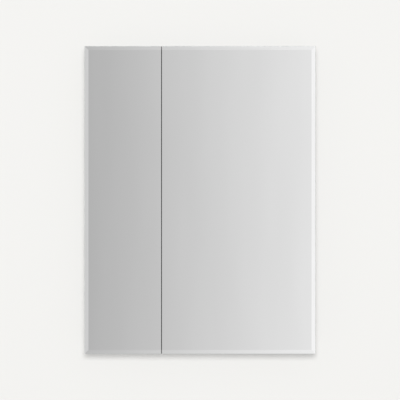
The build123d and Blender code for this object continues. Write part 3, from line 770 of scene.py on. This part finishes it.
@dataclass(frozen=True)
class Turned:
    """A small part turned about +Z, with its top at nought. Lengths are in millimetres.

    Attributes:
        radius: Its widest radius.
        length: Its length, from the top down.
        arris: The chamfer on its edges.
        bore: The radius of the hole through it, or nought.
        steps: How many faces go round.
        turn: The most that a copy turns about its own axis, in radians.
    """

    radius: float
    length: float
    arris: float = 0.2
    bore: float = 0.0
    steps: int = 32
    turn: float = 0.0

    def foot(self, radius: float, chamfer: float) -> Outline:
        """The lower end's points: its chamfered edge, and its middle."""
        return [(radius, chamfer - self.length), (radius - chamfer, -self.length), (0, -self.length)]

    def outline(self) -> Outline:
        """The outline of a plain disc, pin or ring, chamfered at both ends."""
        rim = [(self.radius - self.arris, 0), (self.radius, -self.arris), *self.foot(self.radius, self.arris)]
        if not self.bore:
            return [(0, 0), *rim]
        wide = self.bore + self.arris
        return [(self.bore, -self.arris), (wide, 0), *rim[:-1], (wide, -self.length),
                (self.bore, self.arris - self.length)]

    def mesh(self) -> Mesh:
        """The part as a closed mesh."""
        return lathe(self.outline(), self.steps, ring=self.bore > 0)


@dataclass(frozen=True)
class FlushRivet(Turned):
    """A flush blind rivet, with the dimple that its drawn mandrel leaves.

    Attributes:
        head: The head's radius, at its flush top.
        sink: How deep the head's cone goes.
        dimple: The dimple's points, from its middle to its rim.
    """

    head: float = 3.0
    sink: float = 1.2
    dimple: Outline = ((0.0, -0.7), (0.8, -0.595), (1.0, 0.0))

    def outline(self) -> Outline:
        """The dimple, a flat rim, the cone and the body."""
        return [*self.dimple, (self.head, 0), (self.radius, -self.sink), *self.foot(self.radius, self.arris)]


@dataclass(frozen=True)
class FlangedBush(Turned):
    """A flanged bush that a screw goes through: a sleeve below a thin plate with a rounded rim.

    Attributes:
        sleeve: The sleeve's outer radius.
        plate: The flange's thickness.
        lead: The points of the dished lead-in, with their distance from the bore.
    """

    sleeve: float = 9.0
    plate: float = 1.2
    lead: Outline = ((2.2, 0.0), (0.2, -0.5), (0.0, -0.8))

    def outline(self) -> Outline:
        """Bore, sleeve, underside of the flange, rounded rim and dished top."""
        rim = arc((self.radius - self.arris, -self.arris), self.arris, 0, 90)
        dish = [(self.bore + away, height) for away, height in self.lead]
        return [(self.bore, -self.length), (self.sleeve, -self.length), (self.sleeve, -self.plate),
                (self.radius, -self.plate), *rim, *dish]


@dataclass(frozen=True)
class MagnetCup(Turned):
    """A cup with a thin flange, pressed into the case's front edge.

    Attributes:
        wall: The cup's outer radius below the flange.
        pocket: The pocket's radius.
        depth: The pocket's depth.
        lip: The chamfer on the pocket's mouth.
        flange: The flange's thickness.
    """

    wall: float = 4.3
    pocket: float = 3.55
    depth: float = 6.0
    lip: float = 0.15
    flange: float = 0.6

    def outline(self) -> Outline:
        """Pocket floor and wall, a softened lip, the flange's rim and the cup's outside."""
        rim = arc((self.radius - self.arris, -self.arris), self.arris, 90, 0)
        return [(0, -self.depth), (self.pocket, -self.depth), (self.pocket, -self.lip),
                (self.pocket + self.lip, 0), *rim, (self.radius, -self.flange), (self.wall, -self.flange),
                *self.foot(self.wall, self.arris)]


@dataclass(frozen=True)
class Bumper(Turned):
    """A stick-on bumper: a low button with a well-rounded edge and a slightly crowned top.

    Attributes:
        crown: How far the top's middle stands above its edge.
        slope: The angle at which the rounded edge begins, in degrees.
    """

    crown: float = 0.1
    slope: float = 84.0

    def outline(self) -> Outline:
        """Crown, which has fallen by a quarter half-way out, rounded edge and flat foot."""
        top = self.radius - self.arris
        edge = arc((top, -self.crown - self.arris), self.arris, self.slope, 0, steps=6)
        return [(0, 0), (top / 2, -self.crown / 4), *edge, (self.radius, -self.length), (0, -self.length)]


@dataclass(frozen=True)
class Screw(Turned):
    """A pan-head machine screw.

    Attributes:
        height: The head's height.
        shank: The shank's radius.
        point: The chamfer on the shank's end.
        round: The radius of the head's shoulder, as a share of its height.
        slope: The angle at which that shoulder begins, in degrees.
        recess: The driver recess.
        sink: Its depth, as a share of the head's height.
        above: How far the cutter stands above the head.
        hexagon: A hexagon's radius, as a share of the head's.
        cross: How far a cross reaches and half its arms' width, as shares of the head's radius.
        taper: A cross's size at its floor and at the cutter's top, as shares of its own.
    """

    arris: float = 0.12
    steps: int = 28
    turn: float = math.tau
    height: float = 2.0
    shank: float = 1.6
    point: float = 0.5
    round: float = 0.55
    slope: float = 80.0
    recess: Recess = Recess.CROSS
    sink: float = 0.7
    above: float = 0.12
    hexagon: float = 0.5
    cross: tuple[float, float] = (0.58, 0.13)
    taper: tuple[float, float] = (0.5, 1.06)

    def outline(self) -> Outline:
        """A crowned head with a small chamfer below, and a shank with a short point."""
        crown = self.round * self.height
        top = self.radius - crown
        return [(0, 0), (top, 0), *arc((top, -crown), crown, self.slope, 0),
                (self.radius, self.arris - self.height), (self.radius - self.arris, -self.height),
                (self.shank, -self.height), *self.foot(self.shank, self.point)]

    def mesh(self) -> Mesh:
        """The turned screw with its recess cut out."""
        blank = new_piece("screw_blank", lathe(self.outline(), self.steps))
        cutter = new_piece("screw_cutter", self.cutter())
        cut = blank.modifiers.new("recess", "BOOLEAN")
        cut.object = cutter
        cut.solver = "EXACT"
        weld = blank.modifiers.new("weld", "WELD")
        weld.merge_threshold = WELD
        settle(blank)
        mesh = blank.data
        mesh.materials.clear()
        mesh.set_sharp_from_angle(angle=SHARP_TURN)
        for scrap in (blank, cutter):
            bpy.data.objects.remove(scrap)
        return mesh

    def cutter(self) -> Mesh:
        """The solid that cuts the recess, set between the lathe's steps so that no two edges meet."""
        skew = math.pi / self.steps / 2
        floor = -self.sink * self.height
        if self.recess is Recess.HEXAGON:
            size, corners = self.hexagon * self.radius, range(6)
            flats = [(size * math.cos(math.pi * i / 3 + skew), size * math.sin(math.pi * i / 3 + skew))
                     for i in corners]
            return prism(flats, flats, floor, self.above)
        reach, slot = (share * self.radius for share in self.cross)
        outline = []
        for quarter in range(4):
            angle = math.pi * quarter / 2 + skew
            cos, sin = math.cos(angle), math.sin(angle)
            outline += [(x * cos - y * sin, x * sin + y * cos)
                        for x, y in ((reach, -slot), (reach, slot), (slot, slot))]
        low, high = ([(share * x, share * y) for x, y in outline] for share in self.taper)
        return prism(low, high, floor, self.above)


@dataclass
class BevelledMirror:
    """A front mirror: its pane, the bevel on its outer edges and the seamed arris. Lengths are in metres.

    Attributes:
        node: The CAD node.
        hinged: -1 where the outer upright edge is at low X, 1 where it is at high X.
        bevel: The bevel's width.
        drop: The bevel's depth at the outer edge.
        arris: The arris's radius, in millimetres.
        sideways: A normal's share along X from which a face belongs to the meeting edge.
        frontward: Its share along -Y from which a face is silvered.
        flat: Its share along -Y from which a silvered face isn't the bevel.
    """

    node: str
    hinged: int
    bevel: float = 12.7 * MM
    drop: float = 1.6 * MM
    arris: float = 0.25
    sideways: float = 0.2
    frontward: float = 0.97
    flat: float = 0.9999

    def build(self) -> Piece:
        """Make the pane between three outlines: its back, the foot of the bevel and its crest."""
        low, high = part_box(self.node)
        west, east = (self.bevel if self.hinged == side else 0.0 for side in (-1, 1))
        crest = (low.x + west, high.x - east, low.z + self.bevel, high.z - self.bevel)
        edge = (low.x, high.x, low.z, high.z)
        shape = bmesh.new()
        rows = [[shape.verts.new((x, y, z)) for x, z in ((w, b), (e, b), (e, t), (w, t))]
                for (w, e, b, t), y in ((edge, high.y), (edge, low.y + self.drop), (crest, low.y))]
        shape.faces.new(rows[0])
        shape.faces.new(rows[2])
        # The sides run bottom, right, top and left. The meeting edge is one face, with no bevel.
        meeting = 1 if self.hinged < 0 else 3
        for i in range(4):
            j = (i + 1) % 4
            if i == meeting:
                shape.faces.new((rows[0][i], rows[1][i], rows[2][i], rows[2][j], rows[1][j], rows[0][j]))
                continue
            shape.faces.new((rows[0][i], rows[0][j], rows[1][j], rows[1][i]))
            shape.faces.new((rows[1][i], rows[1][j], rows[2][j], rows[2][i]))
        bmesh.ops.recalc_face_normals(shape, faces=shape.faces)
        piece = new_piece(f"{self.node}_pane", poured(shape, self.node))
        round_edges(piece, self.arris, segments=3)
        flatten(piece)
        dress_faces(piece, (MIRROR, BEVEL_UPRIGHT, BEVEL_LEVEL, GLASS_EDGE, BACKING, GAP_SHADE_LACQUER), self.choose)
        return piece

    def choose(self, normal: Vector) -> Finish:
        """Choose a face's finish by the way it faces."""
        if normal.y > STRAIGHT:
            return BACKING
        # The meeting edge, inside the gap between the doors, gets the lacquer darkened as painted shade.
        if self.hinged * normal.x < -self.sideways:
            return GAP_SHADE_LACQUER
        if normal.y > -self.frontward:
            return GLASS_EDGE
        if normal.y < -self.flat:
            return MIRROR
        return BEVEL_UPRIGHT if abs(normal.x) > abs(normal.z) else BEVEL_LEVEL


@dataclass
class CabinetBody(SubAssembly):
    """The mitred aluminium case, its back, the mirror inside it and what holds it to the wall."""

    body: str = "cabinet"
    panel_arris: float = 0.35
    foam_arris: float = 0.25
    spacer_bore: float = 3.25
    rivet: FlushRivet = FlushRivet(radius=1.6, length=8.0, arris=0.4, steps=24)

    def build(self) -> None:
        """Make every piece of the case."""
        for name, finish in (("side_panel_left", BODY_UPRIGHT), ("side_panel_right", BODY_UPRIGHT),
                             ("top_panel", BODY_LEVEL), ("bottom_panel", BODY_LEVEL)):
            self.soften(name, "body_aluminium", finish, self.panel_arris)
        self.dress("corner_keys", MILL_ALUMINIUM)
        self.dress("back_panel", GALVANISED)
        self.glaze("inner_mirror", -BACK)
        self.soften("inner_mirror_tape", "tape", FOAM, self.foam_arris)
        name = "back_panel_rivets"
        self.copies(name, "rivet", RIVET_METAL, self.rivet, tops(islands(name), BACK))
        self.spacers()

    def spacers(self) -> None:
        """Flanged bushes through the inner mirror, which the wall screws' heads bear on."""
        solids = islands("wall_spacers")
        size = (solids[0][1] - solids[0][0]) / MM
        bush = FlangedBush(radius=size.x / 2, length=size.y, arris=0.8, bore=self.spacer_bore, steps=40)
        self.copies("wall_spacers", "spacer", CUP_PLASTIC, bush, tops(solids, -BACK))


@dataclass
class ShelfSet(SubAssembly):
    """Glass shelves on plated clips that slide in the side grooves.

    Attributes:
        count: How many shelves there are.
        rim: The radius of a shelf's pencil edge, in millimetres.
        flat: A normal's share along Z from which a face is clear.
    """

    body: str = "cabinet"
    count: int = 4
    rim: float = 2.2
    flat: float = 0.995
    clip_arris: float = 0.6
    pad_arris: float = 0.3
    screw: Screw = Screw(radius=2.8, length=9.0, height=2.0, shank=1.5, recess=Recess.HEXAGON)

    def build(self) -> None:
        """Make the shelves, then what carries them."""
        for number in range(1, self.count + 1):
            self.shelf(f"glass_shelf_{number}")
        self.soften("shelf_clips", "clip", CLIP_METAL, self.clip_arris, segments=3)
        self.soften("shelf_pads", "silicone", SILICONE, self.pad_arris)
        self.dress("clip_nuts", SCREW_METAL)
        spots = tops_inwards(islands("clip_screws"))
        self.copies("clip_screws", "screw_steel", SCREW_METAL, self.screw, spots)

    def shelf(self, name: str) -> None:
        """A pane with a pencil-round edge, clear above and below and green at the rim."""
        low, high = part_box(name)
        shape = bmesh.new()
        bmesh.ops.create_cube(shape, size=1.0)
        for vert in shape.verts:
            vert.co = Vector([a if c < 0 else b for a, b, c in zip(low, high, vert.co)])
        piece = new_piece(f"{name}_pane", poured(shape, name))
        round_edges(piece, self.rim, segments=5)
        dress_faces(piece, (SHELF_CLEAR, SHELF_EDGE),
                    lambda normal: SHELF_CLEAR if abs(normal.z) > self.flat else SHELF_EDGE)
        self.enter(piece, "shelf_glass", name)


@dataclass
class HingeArms(SubAssembly):
    """The six cranked hinge arms on the side walls, with their screws."""

    body: str = "cabinet"
    arris: float = 0.5
    screw: Screw = Screw(radius=3.8, length=10.7, height=2.2, shank=2.0)

    def build(self) -> None:
        """Make the arms and their screws."""
        for side in ("left", "right"):
            for level in LEVELS:
                self.soften(f"{side}_hinge_arm_{level}", "hinge_metal", HINGE_METAL, self.arris, segments=3)
        spots = tops_inwards(islands("hinge_arm_screws"))
        self.copies("hinge_arm_screws", "screw_steel", SCREW_METAL, self.screw, spots)


@dataclass
class Catches(SubAssembly):
    """Magnets in their cups and clear bumpers, on the case's front edges."""

    body: str = "cabinet"
    cup: MagnetCup = MagnetCup(radius=5.3, length=8.6, arris=0.4, steps=36)
    magnet: Turned = Turned(radius=3.5, length=5.0, arris=0.3, steps=36)
    bumper: Bumper = Bumper(radius=4.0, length=1.7, arris=1.2)

    def build(self) -> None:
        """Make cups, magnets and bumpers."""
        for name, slot, finish, part in (("catch_cups", "cup", CUP_PLASTIC, self.cup),
                                         ("catch_magnets", "magnet", MAGNET_METAL, self.magnet),
                                         ("door_bumpers", "silicone", SILICONE, self.bumper)):
            self.copies(name, slot, finish, part, tops(islands(name), -BACK))


@dataclass
class DoorLeaf(SubAssembly):
    """One door: its frame, both mirrors, and the hinge parts and strikes that it carries."""

    body: str = "left_door"
    side: str = "left"
    foam_arris: float = 0.25
    frame_arris: float = 0.3
    block_arris: float = 0.4
    pin_arris: float = 0.4
    washer: Turned = Turned(radius=3.6, length=0.9, arris=0.15, bore=2.1)
    strike: Turned = Turned(radius=6.0, length=1.0, arris=0.25, steps=36)
    corner_screw: Screw = Screw(radius=3.5, length=26.0, height=2.5, shank=1.9)
    block_screw: Screw = Screw(radius=3.2, length=11.6, height=1.6, shank=1.6)

    def build(self) -> None:
        """Make every piece of the door."""
        pane = BevelledMirror(self.named("front_mirror"), -1 if self.side == "left" else 1)
        self.enter(pane.build(), "mirror", pane.node)
        self.glaze(self.named("back_mirror"), BACK)
        self.soften(self.named("mirror_tape"), "tape", FOAM, self.foam_arris)
        for part, slot, finish in (("hinge_stile", "frame_aluminium", FRAME_UPRIGHT),
                                   ("meeting_stile", "frame_aluminium", FRAME_UPRIGHT),
                                   ("top_rail", "frame_aluminium", FRAME_LEVEL),
                                   ("bottom_rail", "frame_aluminium", FRAME_LEVEL),
                                   ("end_caps", "cap", CAP_PLASTIC),
                                   # The seal's black rubber is painted shade in the gap between the doors.
                                   ("edge_seal", "seal", GAP_SHADE_RUBBER)):
            self.soften(self.named(part), slot, finish, self.frame_arris)
        for level in LEVELS:
            name = self.named(f"hinge_block_{level}")
            self.soften(name, "hinge_metal", HINGE_METAL, self.block_arris, segments=3)
        low, high = islands(self.named("hinge_pins"))[0]
        size = (high - low) / MM
        pin = Turned(radius=size.x / 2, length=size.z, arris=self.pin_arris)
        self.repeat("hinge_pins", "pin_steel", PIN_METAL, pin, UP)
        self.repeat("hinge_washers", "washer", NYLON, self.washer, UP)
        self.screws()
        self.repeat("strike_discs", "pin_steel", PIN_METAL, self.strike, BACK)

    def named(self, part: str) -> str:
        """The CAD node of one of this door's parts."""
        return f"{self.side}_{part}"

    def repeat(self, part: str, slot: str, finish: Finish, shape: Turned, way: Vector) -> None:
        """Set a turned part wherever one of this door's CAD nodes has a solid, all facing one way."""
        name = self.named(part)
        self.copies(name, slot, finish, shape, tops(islands(name), way))

    def screws(self) -> None:
        """The screws of the frame's corners, which lie level, and the hinge blocks', which face back."""
        name = self.named("door_screws")
        solids = islands(name)
        level = [pair for pair in solids if pair[1].x - pair[0].x > pair[1].y - pair[0].y]
        middle = sum(low.x + high.x for low, high in level) / len(level) / 2
        corners = [spot for way in (RIGHT, -RIGHT) for spot in tops(level, way)
                   if (spot[0].x - middle) * way.x > 0]
        blocks = tops([pair for pair in solids if pair not in level], BACK)
        first, second = (place_copies(made, screw.mesh(), spots, SCREW_METAL, screw.turn)
                         for made, screw, spots in ((f"{name}_finished", self.corner_screw, corners),
                                                    (f"{name}_blocks", self.block_screw, blocks)))
        self.enter(join(first, second), "screw_steel", name)


# ------------------------------------------------------------------ studio


@dataclass(frozen=True)
class SoftBox:
    """A square soft box that points at the object. Lengths are in metres, the power in watts."""

    name: str
    place: Point
    size: float
    power: float


@dataclass
class Studio:
    """Camera, surroundings, lights, wall and floor. Lengths are in metres.

    Attributes:
        lens: The camera's focal length, in millimetres.
        distance: From the camera to the front mirrors.
        bounces: How often light may bounce between facing mirrors.
        pale: The wall's and floor's colour as they show.
        wall_gap: From the cabinet's back to the wall.
        wall_glow: The share of its paleness that the wall gives by itself.
        wall_paint: The wall's colour where lamps fall on it.
        floor_glow: The floor's share.
        floor_paint: The floor's colour.
        across: The room's light from left to right, as places from -1 to 1 and levels.
        upward: What multiplies it from floor to ceiling.
        brightest: The highest level in either.
        lamp_place: The middle of the lamp in front of the wall.
        lamp_radius: Its radius.
        lamp_power: Its strength at every distance.
        boxes: The soft boxes for the object.
    """

    lens: float = 100.0
    sensor: float = 36.0
    distance: float = 3.669
    bounces: int = 24
    pale: str = "#F4F3F1"
    wall_size: float = 14.0
    wall_gap: float = 0.4 * MM
    wall_glow: float = 0.481
    wall_paint: str = "#6A6A69"
    floor_size: float = 80.0
    floor_level: float = -1.45
    floor_glow: float = 0.88
    floor_paint: str = "#3C3C3B"
    across: Outline = ((-1.0, 0.7), (-0.88, 0.84), (-0.72, 0.74), (-0.58, 0.55), (-0.46, 0.6),
                       (-0.352, 0.7), (-0.22, 0.55), (-0.125, 0.478), (-0.1, 0.515), (0.0, 0.694),
                       (0.1, 0.87), (0.15, 0.95), (0.24, 0.96), (0.352, 1.02), (0.42, 0.84),
                       (0.5, 0.64), (0.6, 0.54), (0.76, 0.84), (0.9, 0.68), (1.0, 0.8))
    upward: Outline = ((-1.0, 0.95), (-0.8, 1.02), (-0.58, 0.82), (-0.38, 1.085), (-0.17, 1.0),
                       (0.17, 1.0), (0.38, 1.085), (0.6, 1.2), (1.0, 1.3))
    brightest: float = 1.4
    lamp_place: Point = (0.0, -3.7, 0.37)
    lamp_radius: float = 0.38
    lamp_power: float = 100.0
    boxes: tuple[SoftBox, ...] = (SoftBox("box_left", (-2.6, -2.2, 1.4), 1.6, 22.0),
                                  SoftBox("box_right", (2.4, -2.4, 1.0), 1.8, 30.0),
                                  SoftBox("box_behind", (1.4, 2.4, 1.8), 2.0, 40.0))

    def build(self, low: Vector) -> None:
        """Make the studio round the object.

        Args:
            low: The object's lowest corner, whose Y is the front mirrors' face.
        """
        self.camera(low.y)
        self.surroundings()
        self.lights(self.wall(), self.floor())

    def camera(self, front: float) -> None:
        """A long lens, straight in front of the mirrors' middle."""
        lens = bpy.data.cameras.new("camera")
        lens.lens = self.lens
        lens.sensor_width = self.sensor
        camera = bpy.data.objects.new("camera", lens)
        camera.location = (0, front - self.distance, 0)
        camera.rotation_euler = (math.pi / 2, 0, 0)
        bpy.context.scene.collection.objects.link(camera)
        bpy.context.scene.camera = camera
        bpy.context.scene.view_settings.view_transform = "Standard"
        bpy.context.scene.cycles.max_bounces = self.bounces
        bpy.context.scene.cycles.glossy_bounces = self.bounces

    def surroundings(self) -> None:
        """A room of soft light panels that the mirrors show, round a plain pale background."""
        world = bpy.data.worlds.new("room")
        world.use_nodes = True
        tree = world.node_tree
        tree.nodes.clear()
        way = node(tree, "ShaderNodeTexCoord")
        parts = node(tree, "ShaderNodeSeparateXYZ", {"Vector": way.outputs["Generated"]}).outputs
        light = node(tree, "ShaderNodeMath", {0: self.level(tree, parts["X"], self.across),
                                              1: self.level(tree, parts["Z"], self.upward)},
                     operation="MULTIPLY")
        room = node(tree, "ShaderNodeBackground", {"Color": linear("#FFFFFF"), "Strength": light})
        plain = node(tree, "ShaderNodeBackground", {"Color": linear(self.pale)})
        seen = node(tree, "ShaderNodeLightPath").outputs["Is Camera Ray"]
        both = node(tree, "ShaderNodeMixShader", {0: seen, 1: room, 2: plain})
        node(tree, "ShaderNodeOutputWorld", {"Surface": both})
        bpy.context.scene.world = world

    def level(self, tree: Tree, share: Socket, stops: Outline) -> Node:
        """Turn one share of a direction into a light level.

        Args:
            tree: The world's node tree.
            share: The direction's share along an axis, from -1 to 1.
            stops: Places on that axis, and the level at each.

        Returns:
            The node that gives the level.
        """
        place = node(tree, "ShaderNodeMapRange", {"Value": share, "From Min": -1.0})
        curve = node(tree, "ShaderNodeFloatCurve", {"Value": place})
        points = curve.mapping.curves[0].points
        for number, (where, height) in enumerate((stops[0], stops[-1], *stops[1:-1])):
            spot = (0.5 + where / 2, height / self.brightest)
            if number < 2:
                points[number].location = spot
            else:
                points.new(*spot)
        curve.mapping.update()
        return node(tree, "ShaderNodeMath", {0: curve, 1: self.brightest}, operation="MULTIPLY")

    def plane(self, name: str, corners: Sequence[Point], glow: float, paint: str) -> Piece:
        """A pale plane that gives part of its own light, and can't be seen from behind.

        Args:
            name: Its name.
            corners: Its four corners, anticlockwise from the side that shows.
            glow: The share of its paleness that it gives by itself.
            paint: The colour that the lights fall on.

        Returns:
            The plane.
        """
        mesh = bpy.data.meshes.new(name)
        mesh.from_pydata(corners, [], [(0, 1, 2, 3)])
        made = new_piece(name, mesh)
        made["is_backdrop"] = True
        surface = bpy.data.materials.new(name)
        surface.use_nodes = True
        tree = surface.node_tree
        tree.nodes.clear()
        lit = node(tree, "ShaderNodeBsdfDiffuse", {"Color": linear(paint)})
        own = node(tree, "ShaderNodeEmission", {"Color": linear(self.pale), "Strength": glow})
        front = node(tree, "ShaderNodeAddShader", {0: lit, 1: own})
        clear = node(tree, "ShaderNodeBsdfTransparent")
        side = node(tree, "ShaderNodeNewGeometry").outputs["Backfacing"]
        both = node(tree, "ShaderNodeMixShader", {0: side, 1: front, 2: clear})
        node(tree, "ShaderNodeOutputMaterial", {"Surface": both})
        mesh.materials.append(surface)
        return made

    def wall(self) -> Piece:
        """The wall that the cabinet hangs on."""
        half, back, foot = self.wall_size / 2, self.wall_gap, self.floor_level
        corners = ((-half, back, foot), (half, back, foot), (half, back, half), (-half, back, half))
        return self.plane("wall", corners, self.wall_glow, self.wall_paint)

    def floor(self) -> Piece:
        """A pale floor below the wall, out of the camera's sight and left out of the mirrors."""
        half, level = self.floor_size / 2, self.floor_level
        corners = ((-half, -half, level), (half, -half, level), (half, half, level), (-half, half, level))
        made = self.plane("floor", corners, self.floor_glow, self.floor_paint)
        made.visible_glossy = False
        return made

    def lights(self, wall: Piece, floor: Piece) -> None:
        """A broad frontal light for the wall and floor alone, and soft boxes for the object."""
        shown = bpy.data.collections.new("wall_and_floor")
        unlit = bpy.data.collections.new("all_but_wall_and_floor")
        for plane in (wall, floor):
            shown.objects.link(plane)
            unlit.objects.link(plane)
        for entry in unlit.collection_objects:
            entry.light_linking.link_state = "EXCLUDE"
        self.hang(self.lamp(), self.lamp_place, shown)
        for box in self.boxes:
            lamp = bpy.data.lights.new(box.name, "AREA")
            lamp.shape = "SQUARE"
            lamp.size = box.size
            lamp.energy = box.power
            made = self.hang(lamp, box.place, unlit)
            made.rotation_euler = (-Vector(box.place)).to_track_quat("-Z", "Y").to_euler()

    def lamp(self) -> bpy.types.Light:
        """A soft round lamp that lights far and near alike."""
        bulb = bpy.data.lights.new("wall_lamp", "POINT")
        bulb.shadow_soft_size = self.lamp_radius
        bulb.energy = 1.0
        bulb.use_nodes = True
        tree = bulb.node_tree
        constant = node(tree, "ShaderNodeLightFalloff", {"Strength": self.lamp_power})
        feed(tree.nodes["Emission"], {"Strength": constant.outputs["Constant"]})
        return bulb

    def hang(self, lamp: bpy.types.Light, place: Point, lit: bpy.types.Collection) -> Piece:
        """Put a lamp in the scene, where mirrors don't show it.

        Args:
            lamp: The lamp.
            place: Its middle.
            lit: What it lights or leaves out.

        Returns:
            The lamp's object.
        """
        made = bpy.data.objects.new(lamp.name, lamp)
        made.location = place
        made.visible_glossy = False
        made.light_linking.receiver_collection = lit
        bpy.context.scene.collection.objects.link(made)
        return made


def main() -> None:
    """Build the studio and every sub-assembly."""
    logging.basicConfig(level=logging.INFO, format="%(name)s: %(message)s")
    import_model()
    frame_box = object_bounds()
    Studio().build(frame_box[0])
    parts = [CabinetBody(), ShelfSet(), HingeArms(), Catches(),
             DoorLeaf("left_door", side="left"), DoorLeaf("right_door", side="right")]
    for part in parts:
        part.build()
        LOG.info("%s: %d pieces", type(part).__name__, len(part.made))


if __name__ == "__main__":
    main()
